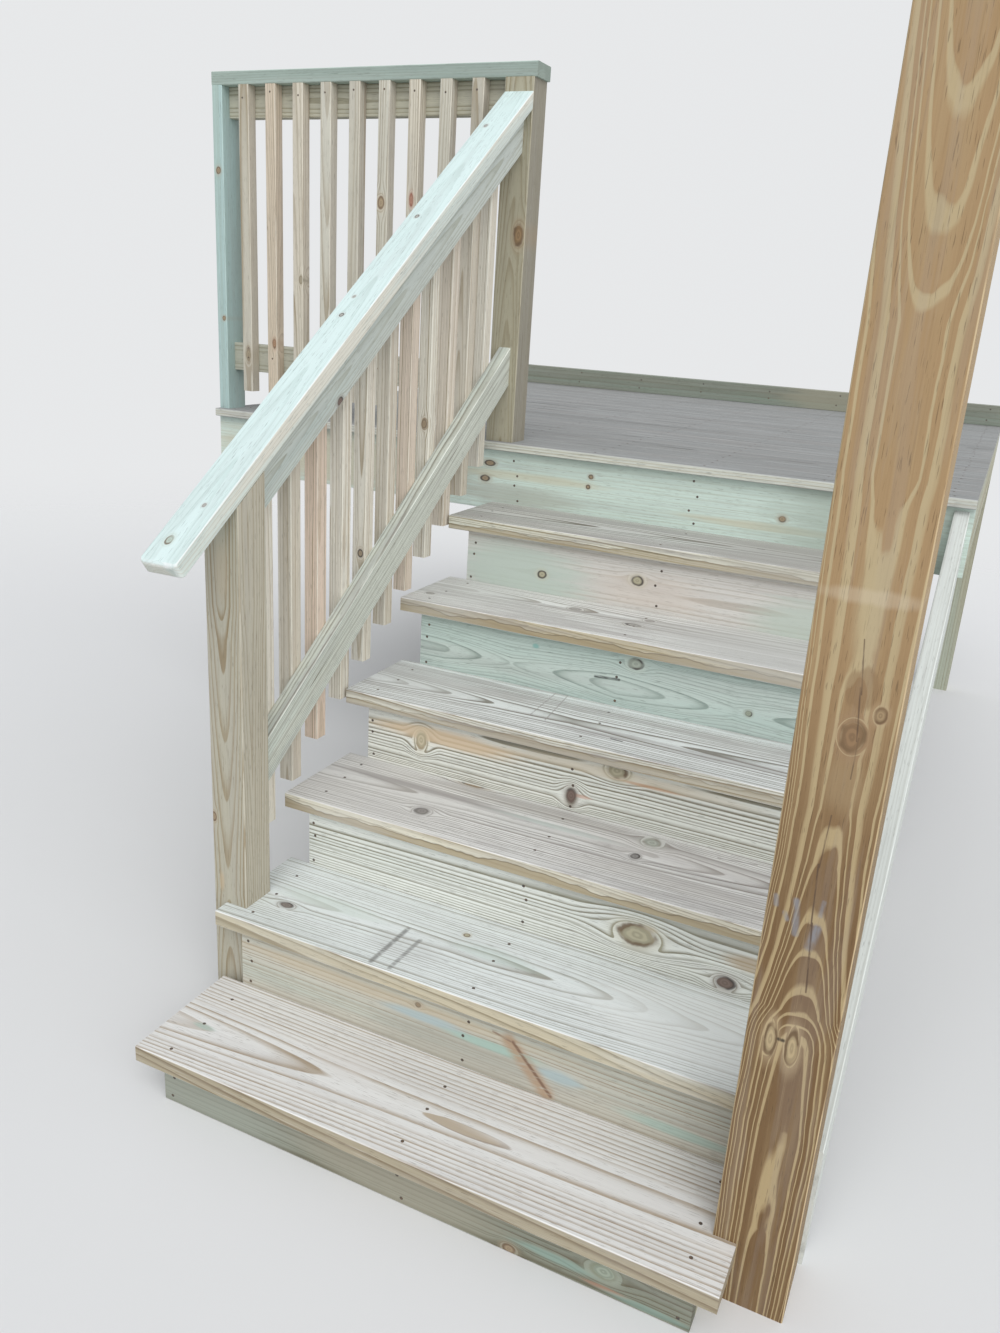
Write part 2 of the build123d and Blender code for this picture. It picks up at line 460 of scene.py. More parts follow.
def two_woods(board, look):
    """The colours of the early and the late wood."""
    early, late = look.early, look.late
    if look.edge:
        flat = board.smooth(board.on_face, 0.4, 0.8)
        early, late = board.mix(flat, look.edge[0], early), board.mix(flat, look.edge[1], late)
    if look.fade:
        start, end, far_early, far_late = look.fade
        far = board.smooth(board.along, start, end)
        early, late = board.mix(far, early, far_early), board.mix(far, late, far_late)
    if look.tint:
        tint, amount, *often = look.tint
        banded = board.smooth(board.stretched(0.7, often[0] if often else 14.0, 2.0), 0.40, 0.62)
        early = board.mix(banded * amount, early, tint)
    if look.piece_shades:
        shade = (board.random(board.piece + look.seed + 5) - 0.5) * 2 * look.piece_shades
        early = board.mix(board.maths("MAXIMUM", shade, 0.0), early, look.late)
        early = board.mix(board.maths("MAXIMUM", shade * -1.0, 0.0), early, toned(look.early, 1.3, most=0.85))
    if look.piece_tint:
        tint, amounts = look.piece_tint
        for number, amount in amounts.items():
            early = board.mix(board.maths("COMPARE", board.piece, number, 0.5) * amount, early, tint)
    return early, late


def add_wane(board, colour, wane):
    rim_line = board.depth + (board.stretched(6.0, 6.0, 3.0, 0.6) - 0.5) * 0.050 + 0.002
    on_edge = board.smooth(board.on_face, 0.4, 0.8, wane, 0.0)
    below = board.smooth(rim_line, -0.002, 0.002, 1.0, 0.0)
    colour = board.mix(below * on_edge, colour, wane_colour)
    seam = board.smooth(board.maths("ABSOLUTE", rim_line), 0.0005, 0.0022, 1.0, 0.0)
    return board.mix(seam * on_edge, colour, toned(wane_colour, 0.55))


print("varying colours ready")

# %% [markdown]
# The wood itself puts these together. The late bands are laid over the early wood, and fibres, short
# resin flecks, grime and stains over both. The sharp corners are worn pale and the sawn ends are darker.
# A look says only what makes its board different from plain pine.

# %% Pine
grain_depth = 0.0006
plain_roughness = 0.74
plain_pine = dict(
    repeat=None, heart=(0.0, -0.07), drift=0.0, ring=0.006, wander=0.006, ripple=0.002, share=0.36,
    bow=(), pointed=False, sinks=None, spread=None, bend=(4.5, 3.0), loops=(1.3, 1.9), knots=(),
    patches=(), scratches=(), edge=None, fade=None, tint=None,
    piece_shades=0.0, piece_tint=None, contrast=1.0, streaks=0.3, grime=0.15, stain=0.12, wane=0.0,
    arris=0.55)


def add_grain(board, look, colour, fibres, bands, clouds):
    """Fibres, flecks, grime and stains."""
    flecks = board.smooth(board.stretched(34.0, 620.0, 1.0), 0.64, 0.72)
    stains = board.smooth(board.stretched(1.4, 24.0, 5.0, 0.65), 0.50, 0.60)
    layers = [(board.smooth(bands, 0.5, 0.8) * look.grime, toned(look.late, 0.8)),
              (board.smooth(fibres, 0.5, 0.78) * look.streaks, toned(look.late, 0.6)),
              (board.smooth(fibres, 0.47, 0.2) * look.streaks, toned(look.early, 1.25)),
              (board.smooth(clouds, 0.42, 0.72) * look.grime, toned(look.early, 0.6)),
              (flecks * 0.45, toned(look.late, 0.4)),
              (stains * look.stain, smudge)]
    for mask, shade in layers:
        colour = board.mix(mask, colour, shade)
    return colour


def pine(node, way, look):
    """A treated pine finish for one board, or for a row of like boards."""
    board = Board(node, way, look.seed, look.repeat)
    late_band = late_wood(board, count_rings(board, look), look.share)
    fibres = board.stretched(7.0, 420.0, 3.0, 0.6)
    bands = board.stretched(1.6, 55.0, 2.0, 0.55)
    clouds = board.stretched(3.0, 9.0, 4.0, 0.6)
    early, late = two_woods(board, look)
    late_amount = board.maths("MINIMUM", late_band * (bands * 0.7 + 0.62) * look.contrast, 1.0)
    colour = add_grain(board, look, board.mix(late_amount, early, late), fibres, bands, clouds)
    height = fibres * 0.3 + late_band * 0.45 + bands * 0.25
    if look.wane:
        colour = add_wane(board, colour, look.wane)
    if look.patches:
        colour = add_patches(board, colour, look.patches)
    if look.knots:
        colour, height = add_knots(board, colour, height, look.knots)
    if look.scratches:
        colour = add_scratches(board, colour, look.scratches)
    colour = board.mix(board.smooth(board.on_end, 0.6, 0.9) * 0.35, colour, toned(look.late, 0.6))
    worn = board.smooth(board.stretched(9.0, 40.0, 2.0), 0.35, 0.6, 0.25, 1.0)
    colour = board.mix(board.on_arris * worn * look.arris, colour, toned(look.early, 1.2, 0.06, 0.85))
    bump = board.node("Bump", None, {"Strength": 0.5, "Distance": grain_depth, "Height": height})
    dullness = late_band * -0.08 + (clouds - 0.5) * 0.12 + plain_roughness
    shader = board.node("BsdfPrincipled", None, {
        "Base Color": colour, "Roughness": dullness, "Normal": bump, "Specular IOR Level": 0.35})
    board.node("OutputMaterial", None, {"Surface": shader})
    return board.owner


def dress(node, way, seed, early, late, **looks):
    """Gives a CAD piece its finish, named after the piece."""
    assert set(looks) <= set(plain_pine), looks
    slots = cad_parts[node].data.materials
    slots.clear()
    look = SimpleNamespace(seed=seed, early=early, late=late, **{**plain_pine, **looks})
    slots.append(pine(node, way, look))


print("pine ready, with", len(plain_pine), "words in a look")

# %% [markdown]
# The wood is new pressure-treated pine that has bleached in the sun. Its early wood runs from cream to
# a faint mint green, left by the preservative, and its late wood is a soft tan. The tall post is older
# stock, golden brown with bold rings. A knot's colours are a pair: its own and its rim's.

# %% Wood colours
white_mint = (0.60, 0.66, 0.62)
mint = (0.44, 0.55, 0.49)
deep_mint = (0.36, 0.53, 0.47)
wet_mint = (0.28, 0.42, 0.37)
blue_mint = (0.40, 0.50, 0.52)
fresh = (0.57, 0.51, 0.37)
fresh_late = (0.26, 0.19, 0.09)
tan = (0.46, 0.36, 0.24)
pinkish = (0.62, 0.52, 0.44)
light_grey = (0.56, 0.57, 0.55)
soft_grey = (0.50, 0.49, 0.47)
scuff = (0.20, 0.20, 0.19)
crack = (0.10, 0.10, 0.10)
brown, olive, grey = (0.30, 0.23, 0.15), (0.40, 0.37, 0.26), (0.37, 0.36, 0.33)
black_rim, brown_rim = (0.06, 0.05, 0.045), (0.15, 0.10, 0.06)
brown_knot, tan_knot = (brown, black_rim), (brown, brown_rim)
grey_knot, faint_knot = (grey, black_rim), (grey, smudge)
mossy_knot, olive_knot = (olive, black_rim), (olive, brown_rim)
dark_knot = ((0.17, 0.12, 0.10), black_rim)
print("wood colours defined")

# %% [markdown]
# Each tread is one wide plank. The lowest two show clear arches and straight lines of late wood, their
# front edges keep the fresh tan of the plank, and two scrapes run over the second.

# %% Lower treads
dress("tread_1", "x flat", 1, (0.745, 0.745, 0.73), (0.37, 0.295, 0.21),
    edge=((0.4, 0.35, 0.25), (0.18, 0.13, 0.07)), heart=(-0.016, -0.05), drift=0.022, ring=0.0084, wander=0.002,
    grime=0.1, share=0.34, bow=[(-0.64, 0.55), (-0.517, 1.0), (-0.246, 2.0), (-0.1, 2.2), (0.6, 2.5)],
    patches=[(0.092, -0.017, 0.094, 0.0135, (0.27, 0.195, 0.125), 0.75, 0.92, 1.06),
        (0.08, -0.016, 0.088, 0.0125, (0.47, 0.4, 0.31), 0.9, 0.86, 1.0),
        (-0.545, -0.024, 0.035, 0.01, deep_mint, 0.5), (0.34, -0.004, 0.28, 0.02, (0.7, 0.69, 0.67), 0.6),
        (-0.22, 0.03, 0.1, 0.05, (0.64, 0.61, 0.58), 0.4), (0.0, 0.06, 0.2, 0.05, smudge, 0.12)])
dress("tread_2", "x flat", 2, (0.78, 0.825, 0.82), (0.31, 0.3, 0.25), edge=(fresh, (0.3, 0.25, 0.16)),
    heart=(0.004, -0.045), drift=0.015, ring=0.0066, wander=0.003, tint=(white_mint, 0.4), grime=0.08,
    share=0.3,
    bow=[(-0.64, -0.9), (-0.3, 0.3), (-0.1, 0.55), (0.0, 0.45), (0.171, 1.0), (0.279, 2.0), (0.341, 3.0),
        (0.417, 4.0), (0.6, 5.2)],
    knots=[(-0.503, -0.043, 0.016, 0.01, (0.2, 0.17, 0.15), black_rim),
        (-0.091, 0.061, 0.007, 0.006, *olive_knot)],
    patches=[(0.45, 0.0, 0.28, 0.16, (0.86, 0.89, 0.87), 0.55),
        (-0.43, 0.01, 0.17, 0.03, (0.58, 0.66, 0.6), 0.5), (0.0, 0.02, 0.12, 0.03, mint, 0.35),
        (-0.18, -0.05, 0.1, 0.06, smudge, 0.18)],
    scratches=[((-0.222, -0.129), (-0.216, 0.015), 0.009, scuff, 0.8),
        ((-0.176, -0.129), (-0.171, -0.009), 0.008, scuff, 0.65)])
dress("tread_3", "x flat", 3, (0.79, 0.79, 0.77), (0.22, 0.19, 0.16),
    edge=((0.72, 0.69, 0.57), (0.33, 0.26, 0.16)), heart=(0.03, -0.075), drift=0.01, ring=0.0052, wander=0.005,
    contrast=1.15, grime=0.25, stain=0.4, wane=0.8, bow=[(-0.6, 0.0), (-0.2, 1.5), (0.2, 1.7), (0.6, 4.0)],
    knots=[(-0.298, -0.051, 0.017, 0.016, (0.25, 0.235, 0.22), black_rim),
        (0.211, 0.011, 0.01, 0.011, (0.24, 0.23, 0.22), black_rim),
        (0.225, 0.09, 0.018, 0.018, (0.38, 0.4, 0.35), (0.22, 0.2, 0.16)),
        (-0.258, 0.142, 0.03, 0.01, *brown_knot)],
    patches=[(-0.46, 0.0, 0.3, 0.2, (0.56, 0.55, 0.53), 0.5), (-0.38, 0.055, 0.32, 0.02, smudge, 0.75),
        (0.02, 0.045, 0.2, 0.014, (0.55, 0.64, 0.6), 0.5), (0.3, 0.05, 0.3, 0.05, (0.5, 0.47, 0.45), 0.4),
        (-0.05, 0.1, 0.35, 0.035, (0.42, 0.4, 0.37), 0.45), (0.3, -0.06, 0.28, 0.04, (0.5, 0.48, 0.45), 0.4)],
    scratches=[((0.376, 0.102), (0.46, 0.118), 0.003, smudge, 0.9)])
print("lower treads dressed")

# %% [markdown]
# The upper treads are greyer and finer, with soft grey patches.

# %% Upper treads
dress("tread_4", "x flat", 4, (0.81, 0.84, 0.83), (0.22, 0.205, 0.17),
    edge=((0.7, 0.69, 0.6), (0.3, 0.25, 0.17)), heart=(-0.02, -0.06), ring=0.0054, wander=0.005, contrast=1.4,
    tint=(white_mint, 0.2), stain=0.5, wane=0.4,
    bow=[(-0.6, 0.0), (-0.5, 1.0), (-0.38, 2.0), (-0.25, 3.0), (-0.05, 3.6), (0.6, 2.0)],
    patches=[(-0.5, 0.03, 0.22, 0.12, light_grey, 0.5), (-0.3, 0.04, 0.2, 0.03, soft_grey, 0.4),
        (0.4, 0.06, 0.3, 0.05, soft_grey, 0.4)],
    scratches=[((0.07, -0.07), (0.098, -0.072), 0.004, crack, 0.9),
        ((-0.16, 0.14), (-0.154, -0.041), 0.003, smudge, 0.7),
        ((-0.126, 0.14), (-0.109, -0.05), 0.003, smudge, 0.7)])
dress("tread_5", "x flat", 5, (0.8, 0.81, 0.79), (0.25, 0.22, 0.175), edge=(fresh, fresh_late),
    heart=(0.05, -0.08), drift=0.02, ring=0.005, tint=(white_mint, 0.15), grime=0.2, stain=0.4, wane=0.8,
    bow=[(-0.5, 0.0), (0.0, 2.4), (0.6, 2.6)],
    knots=[(-0.188, 0.043, 0.015, 0.012, *faint_knot), (-0.006, -0.004, 0.02, 0.011, *grey_knot),
        (0.019, 0.059, 0.012, 0.01, *faint_knot), (-0.581, -0.057, 0.012, 0.009, *grey_knot)],
    patches=[(0.42, 0.0, 0.42, 0.25, (0.5, 0.5, 0.48), 0.6), (-0.52, 0.0, 0.22, 0.2, light_grey, 0.4)])
dress("tread_6", "x flat", 6, (0.6, 0.6, 0.575), (0.17, 0.155, 0.12),
    edge=((0.7, 0.69, 0.58), (0.32, 0.28, 0.18)), heart=(0.0, -0.08), drift=0.01, ring=0.005, contrast=1.3,
    tint=(white_mint, 0.25), grime=0.2, stain=0.5, wane=0.6, bow=[(-0.6, 0.0), (0.6, 3.0)],
    patches=[(0.4, 0.0, 0.4, 0.25, (0.38, 0.365, 0.34), 0.5)],
    scratches=[((-0.262, -0.032), (-0.245, -0.032), 0.004, crack, 0.8),
        ((0.229, 0.027), (0.246, 0.028), 0.004, crack, 0.8)])
print("upper treads dressed")

# %% [markdown]
# The risers stand in shade under the nosings and keep more of their green. The lowest is the darkest,
# its colours painted with the shade that falls under the first nosing. A long dark split runs down
# across the second, and the third shows one large knot.

# %% Lower risers
# The first riser's dark colours and tint are painted shade from the nosing above it.
dress("riser_1", "x edge", 11, (0.25, 0.24, 0.185), (0.12, 0.105, 0.063), heart=(0.06, 0.05), ring=0.0075,
    contrast=1.1, tint=((0.25, 0.295, 0.24), 0.45, 20),
    knots=[(0.235, -0.037, 0.012, 0.009, *tan_knot),
        (0.415, 0.006, 0.022, 0.014, (0.3, 0.34, 0.27), (0.24, 0.26, 0.19))],
    patches=[(-0.5, 0.0, 0.32, 0.1, (0.35, 0.38, 0.33), 0.6), (0.0, 0.0, 0.26, 0.1, (0.36, 0.34, 0.27), 0.6),
        (0.42, -0.03, 0.05, 0.006, (0.4, 0.21, 0.14), 0.6), (0.33, -0.012, 0.1, 0.012, wet_mint, 0.55),
        (0.5, -0.035, 0.1, 0.008, wet_mint, 0.5)])
dress("riser_2", "x edge", 12, (0.57, 0.56, 0.49), (0.33, 0.27, 0.19), heart=(0.1, 0.05), ring=0.0075,
    tint=(mint, 0.35), knots=[(-0.116, 0.056, 0.007, 0.006, *brown_knot)],
    patches=[(-0.02, -0.02, 0.26, 0.08, (0.36, 0.35, 0.3), 0.5),
        (-0.2, 0.05, 0.5, 0.022, (0.56, 0.47, 0.33), 0.5), (-0.1, 0.03, 0.13, 0.014, blue_mint, 0.8),
        (0.06, 0.02, 0.13, 0.014, deep_mint, 0.75), (0.21, 0.005, 0.06, 0.02, blue_mint, 0.8),
        (0.46, -0.02, 0.15, 0.016, deep_mint, 0.6)],
    scratches=[((0.097, 0.049), (0.185, -0.044), 0.027, (0.42, 0.29, 0.19), 0.85),
        ((0.106, 0.049), (0.196, -0.048), 0.006, (0.2, 0.12, 0.08), 0.9),
        ((0.06, 0.058), (0.1, 0.049), 0.004, (0.25, 0.17, 0.12), 0.8)])
dress("riser_3", "x edge", 13, (0.81, 0.835, 0.79), (0.25, 0.24, 0.175), heart=(0.075, 0.03), ring=0.0066,
    contrast=1.25, tint=(white_mint, 0.3), wander=0.003, share=0.4, ripple=0.001, bow=[(-0.5, 0.0), (0.1, 0.6)],
    knots=[(0.265, 0.021, 0.038, 0.023, *olive_knot), (0.463, -0.028, 0.018, 0.013, *dark_knot)],
    patches=[(0.29, 0.043, 0.026, 0.01, tan, 0.55), (0.52, 0.03, 0.08, 0.024, tan, 0.75)])
print("lower risers dressed")

# %% [markdown]
# The upper risers are paler, with tan resin on the fourth, a dark crack in the fifth and two round knots
# on the sixth. The rim of the landing is the seventh, with painted shade at its right end beside the tall post.

# %% Upper risers and the landing's rim
dress("riser_4", "x edge", 14, (0.85, 0.86, 0.8), (0.22, 0.205, 0.145), heart=(0.08, 0.03), ring=0.0072,
    contrast=1.4, tint=(white_mint, 0.3), wander=0.009, share=0.48,
    patches=[(-0.35, 0.05, 0.26, 0.03, (0.63, 0.49, 0.33), 0.85),
        (0.1, 0.065, 0.35, 0.02, (0.6, 0.52, 0.39), 0.6), (0.02, -0.012, 0.03, 0.006, (0.55, 0.3, 0.2), 0.6),
        (0.18, 0.055, 0.1, 0.005, (0.5, 0.28, 0.16), 0.6)],
    knots=[(-0.42, 0.03, 0.014, 0.022, (0.5, 0.44, 0.31), (0.36, 0.3, 0.2)),
        (0.103, 0.076, 0.024, 0.016, *olive_knot), (-0.005, -0.017, 0.012, 0.018, *dark_knot)])
dress("riser_5", "x edge", 15, (0.53, 0.635, 0.59), (0.21, 0.27, 0.24), heart=(0.0, 0.03), ring=0.0044,
    contrast=0.9, tint=(white_mint, 0.5), wander=0.014, share=0.28,
    bow=[(-0.5, 2.0), (-0.3, 4.0), (0.0, 1.0), (0.3, 4.0), (0.6, 2.0)],
    knots=[(0.042, 0.067, 0.018, 0.013, (0.38, 0.42, 0.36), black_rim),
        (0.336, -0.001, 0.008, 0.007, (0.3, 0.33, 0.26), black_rim)],
    patches=[(-0.233, 0.061, 0.012, 0.008, (0.2, 0.45, 0.42), 0.7)],
    scratches=[((-0.063, 0.013), (0.002, 0.016), 0.005, (0.05, 0.055, 0.05), 0.95)])
dress("riser_6", "x edge", 16, (0.67, 0.655, 0.62), (0.4, 0.34, 0.27), heart=(0.0, 0.05), contrast=0.6,
    knots=[(-0.339, -0.002, 0.012, 0.01, *mossy_knot), (-0.058, 0.026, 0.016, 0.012, *mossy_knot)],
    patches=[(-0.42, -0.01, 0.26, 0.12, (0.48, 0.57, 0.51), 0.8), (-0.02, 0.0, 0.2, 0.06, pinkish, 0.35),
        (0.42, -0.03, 0.2, 0.1, (0.48, 0.56, 0.49), 0.7)])
dress("rim_joist", "x edge", 20, (0.62, 0.74, 0.68), (0.4, 0.41, 0.31), heart=(0.1, 0.05), ring=0.008,
    contrast=0.45, tint=((0.56, 0.67, 0.62), 0.6),
    knots=[(-0.172, 0.048, 0.016, 0.008, *brown_knot), (-0.186, 0.0, 0.014, 0.009, *brown_knot),
        (0.161, 0.045, 0.007, 0.006, *brown_knot), (0.154, 0.015, 0.006, 0.006, *brown_knot),
        (0.73, -0.001, 0.01, 0.008, *brown_knot)],
    patches=[(-0.75, 0.0, 0.6, 0.12, (0.52, 0.48, 0.36), 0.8),
        (-0.05, 0.02, 0.3, 0.016, (0.58, 0.53, 0.37), 0.5), (0.72, -0.03, 0.35, 0.014, (0.56, 0.49, 0.33), 0.5),
        # The last patch, darker at the right end of the rim, is painted shade beside the tall post.
        (-0.07, -0.045, 0.24, 0.045, (0.42, 0.44, 0.38), 0.6), (0.96, 0.0, 0.3, 0.3, (0.36, 0.42, 0.36), 0.65)])
print("upper risers and rim dressed")

# %% [markdown]
# The stair rail's flat cap is the palest and greenest board of all. The boards under it stand on edge.

# %% The stair rail
dress("stair_cap", "pitch flat", 31, (0.66, 0.79, 0.78), (0.47, 0.6, 0.57), heart=(0.0, -0.035),
    edge=((0.76, 0.735, 0.65), (0.5, 0.44, 0.34)), tint=((0.6, 0.74, 0.72), 0.6), contrast=0.6, streaks=0.15,
    grime=0.06, ring=0.0055, share=0.3, bow=[(-1.0, 0.0), (0.9, 6.0)],
    knots=[(-0.84, -0.01, 0.011, 0.008, (0.42, 0.48, 0.42), brown_rim),
        (-0.74, 0.008, 0.005, 0.004, *faint_knot), (-0.12, -0.014, 0.006, 0.005, *grey_knot),
        (-0.05, -0.018, 0.005, 0.004, *faint_knot), (0.285, -0.016, 0.007, 0.005, *grey_knot),
        (0.725, -0.02, 0.007, 0.005, *grey_knot)])
dress("stair_top_rail", "pitch edge", 32, (0.58, 0.62, 0.58), (0.36, 0.37, 0.29), heart=(0.0, 0.03),
    ring=0.0055, contrast=0.8, tint=((0.51, 0.63, 0.61), 0.6), bow=[(-1.0, 0.0), (0.9, 7.0)],
    knots=[(-0.387, -0.038, 0.011, 0.008, *dark_knot)])
dress("stair_bottom_rail", "pitch edge", 33, (0.64, 0.67, 0.6), (0.24, 0.23, 0.18), heart=(0.01, 0.03),
    stain=0.35, tint=((0.56, 0.66, 0.61), 0.5), bow=[(-1.0, 0.0), (1.0, -4.0)])
print("stair rail dressed")

# %% [markdown]
# The two posts of the rail are square, cut so that the front face shows long arches.

# %% Rail posts
dress("newel_post", "z", 41, (0.435, 0.415, 0.335), (0.27, 0.21, 0.12), heart=(-0.004, -0.014), ring=0.0052,
    wander=0.003, contrast=1.2, edge=((0.5, 0.47, 0.385), (0.33, 0.275, 0.19)),
    bow=[(-0.62, 3.4), (-0.497, 4.0), (-0.3, 5.6), (-0.163, 5.0), (-0.015, 4.0), (0.11, 3.0), (0.299, 2.0),
        (0.375, 1.0), (0.6, 0.5)], knots=[(-0.122, -0.04, 0.01, 0.006, *tan_knot)],
    patches=[(-0.281, -0.023, 0.03, 0.008, (0.5, 0.38, 0.24), 0.5), (0.45, 0.0, 0.08, 0.02, tan, 0.3)])
dress("top_post", "z", 42, (0.4, 0.375, 0.28), (0.24, 0.2, 0.12), heart=(0.004, -0.016), ring=0.0055,
    wander=0.003, edge=((0.315, 0.295, 0.24), (0.2, 0.17, 0.115)), bow=[(-0.7, 0.0), (0.6, 7.0)],
    knots=[(0.09, 0.024, 0.026, 0.014, (0.26, 0.17, 0.09), brown_rim), (0.35, 0.01, 0.012, 0.009, *tan_knot)])
print("rail posts dressed")

# %% [markdown]
# The landing's rail is level, and a flat plate stands at its left end.

# %% The landing's rail
dress("landing_cap", "x flat", 34, (0.44, 0.54, 0.48), (0.33, 0.38, 0.31), contrast=0.5,
    edge=((0.3, 0.365, 0.33), (0.215, 0.245, 0.2)), tint=(mint, 0.6),
    patches=[(-1.1, -0.07, 0.2, 0.1, (0.46, 0.4, 0.26), 0.7)])
dress("landing_top_rail", "x edge", 35, (0.52, 0.51, 0.41), (0.26, 0.24, 0.16), contrast=1.1, heart=(0.0, 0.02),
    wander=0.008)
dress("landing_bottom_rail", "x edge", 36, (0.46, 0.46, 0.38), (0.26, 0.25, 0.18), contrast=0.9,
    heart=(0.0, 0.03))
dress("wall_plate", "z", 37, (0.41, 0.545, 0.53), (0.34, 0.42, 0.37), contrast=0.5,
    tint=((0.42, 0.52, 0.46), 0.5),
    knots=[(0.25, 0.0, 0.01, 0.008, *tan_knot), (-0.2, 0.008, 0.007, 0.006, *tan_knot)])
print("landing rail dressed")

# %% [markdown]
# Balusters are cut from many different boards, so each has its own shade, from cream to tan and pinkish.
# Their side faces take a lighter cream, partly their own colour and partly a painted highlight for the light
# from the right. A dictionary of piece numbers says which take the second colour, and how much of it.

# %% Balusters
stair_low, stair_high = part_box("stair_balusters")
landing_low, landing_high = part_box("landing_balusters")
baluster_side = stair_high.x - stair_low.x
stair_spacing = (stair_high.y - stair_low.y - baluster_side) / (stair_baluster_count - 1)
landing_spacing = (landing_high.x - landing_low.x - baluster_side) / (landing_baluster_count - 1)
# The edge colours, lighter on the side faces, are partly painted light from the right.
dress("stair_balusters", "z", 44, (0.68, 0.655, 0.575), (0.33, 0.265, 0.17), ring=0.0055, heart=(0.0, -0.05),
    repeat=("y", stair_spacing, stair_baluster_count), contrast=1.1, piece_shades=0.35,
    piece_tint=((0.7, 0.48, 0.36), {2: 0.55, 6: 0.35, 8: 0.15}), edge=((0.75, 0.71, 0.62), (0.46, 0.37, 0.26)),
    knots=[(-0.25, 0.006, 0.01, 0.007, (0.28, 0.22, 0.15), black_rim, 4),
        (0.05, 0.004, 0.012, 0.007, *tan_knot, 7)])
# The edge colours, lighter on the side faces, are partly painted light from the right.
dress("landing_balusters", "z", 45, (0.59, 0.575, 0.495), (0.32, 0.265, 0.18), ring=0.0055, heart=(0.0, 0.05),
    repeat=("x", landing_spacing, landing_baluster_count), piece_shades=0.35,
    piece_tint=((0.6, 0.44, 0.3), {1: 0.5, 2: 0.2, 6: 0.15}), edge=((0.66, 0.63, 0.55), (0.42, 0.34, 0.25)),
    knots=[(0.133, -0.003, 0.016, 0.01, (0.36, 0.28, 0.18), (0.2, 0.14, 0.09), 5),
        (0.143, -0.001, 0.016, 0.006, (0.38, 0.2, 0.14), (0.28, 0.12, 0.08), 6),
        (-0.344, 0.004, 0.022, 0.009, (0.3, 0.25, 0.17), (0.14, 0.1, 0.07), 0),
        (-0.099, 0.012, 0.012, 0.006, (0.33, 0.29, 0.21), (0.22, 0.18, 0.12), 2),
        (-0.3, 0.008, 0.014, 0.007, (0.33, 0.2, 0.12), (0.12, 0.08, 0.05), 1)])
print("baluster spacing", round(stair_spacing, 3), "and", round(landing_spacing, 3))

# %% [markdown]
# The tall post is a big stick with its heart near the face, so its rings are bold: brown bands split by
# thin pale lines, drawn into long arches and closing round one large knot and a pair of eyes lower
# down. Dark cracks run up from the eyes and over the knot, with grey stains beside them.

# %% Tall post
soak = (0.24, 0.245, 0.265)
split = (0.09, 0.055, 0.035)
eye_wood = (0.4, 0.31, 0.18)
eye_rim = (0.13, 0.08, 0.04)
post_bow = [(-1.22, -0.5), (-1.07, -0.12), (-1.04, 0.02), (-0.83, 0.12), (-0.8, 0.32), (-0.72, 0.7),
    (-0.66, 1.0), (-0.64, 1.4), (-0.62, 2.2), (-0.6, 3.2), (-0.555, 4.16), (-0.488, 5.39), (-0.422, 6.13),
    (-0.365, 6.58), (-0.335, 6.82), (-0.303, 6.9), (-0.275, 7.0), (-0.245, 7.22), (-0.06, 7.42), (-0.03, 7.56),
    (0.0, 7.6), (0.11, 7.6), (0.148, 7.51), (0.18, 7.46), (0.21, 7.36), (0.245, 7.1), (0.44, 7.1),
    (0.458, 6.97), (0.555, 6.13), (0.8, 4.8), (1.2, 3.0)]
post_knots = [(-0.125, 0.011, 0.022, 0.0155, (0.235, 0.145, 0.075), (0.16, 0.1, 0.05)),
    (-0.085, 0.043, 0.011, 0.008, (0.3, 0.21, 0.115), (0.15, 0.09, 0.045)),
    (-0.66, -0.03, 0.028, 0.0085, eye_wood, eye_rim), (-0.665, 0.005, 0.03, 0.0095, eye_wood, eye_rim)]
post_patches = [(-0.052, 0.01, 0.036, 0.025, (0.24, 0.15, 0.075), 0.6, 0.75, 1.0),
    (0.06, 0.002, 0.1, 0.022, (0.46, 0.375, 0.225), 0.5), (-0.2, 0.01, 0.06, 0.035, (0.36, 0.265, 0.15), 0.45),
    (0.08, 0.0, 0.014, 0.1, (0.62, 0.53, 0.4), 0.3)]
post_scratches = [((-0.405, -0.026), (-0.461, -0.02), 0.008, soak, 0.75),
    ((-0.442, 0.01), (-0.478, 0.004), 0.01, soak, 0.8), ((-0.405, -0.057), (-0.42, -0.055), 0.006, soak, 0.6),
    ((-0.395, 0.014), (-0.42, 0.012), 0.005, soak, 0.6), ((-0.43, -0.04), (-0.44, -0.036), 0.006, soak, 0.6),
    ((0.02, 0.004), (-0.06, 0.013), 0.0015, split, 0.7), ((-0.05, 0.01), (-0.13, 0.018), 0.0018, split, 0.75),
    ((-0.125, 0.02), (-0.189, 0.019), 0.0015, split, 0.65),
    ((-0.252, 0.002), (-0.34, -0.002), 0.0016, split, 0.7),
    ((-0.335, -0.004), (-0.44, 0.001), 0.002, split, 0.85),
    ((-0.435, 0.002), (-0.557, 0.011), 0.0022, split, 0.85),
    ((-0.656, -0.017), (-0.656, -0.01), 0.005, (0.04, 0.03, 0.02), 0.9)]
dress("porch_post", "z", 43, (0.41, 0.31, 0.167), (0.168, 0.096, 0.04), heart=(0.006, -0.058), ring=0.0058,
    wander=0.005, ripple=0.006, share=0.74, bow=post_bow, pointed=True, sinks=(-0.34, 0.16, 0.02),
    spread=(-1.6, -0.75, 0.04), bend=(2.0, 1.7), loops=(0.9, 1.5), contrast=1.25, streaks=0.22, grime=0.08,
    arris=0.9, fade=(-0.5, 0.18, (0.455, 0.36, 0.21), (0.36, 0.238, 0.12)), knots=post_knots,
    patches=post_patches, scratches=post_scratches)
print("tall post dressed, with", len(post_bow), "points in its bow")
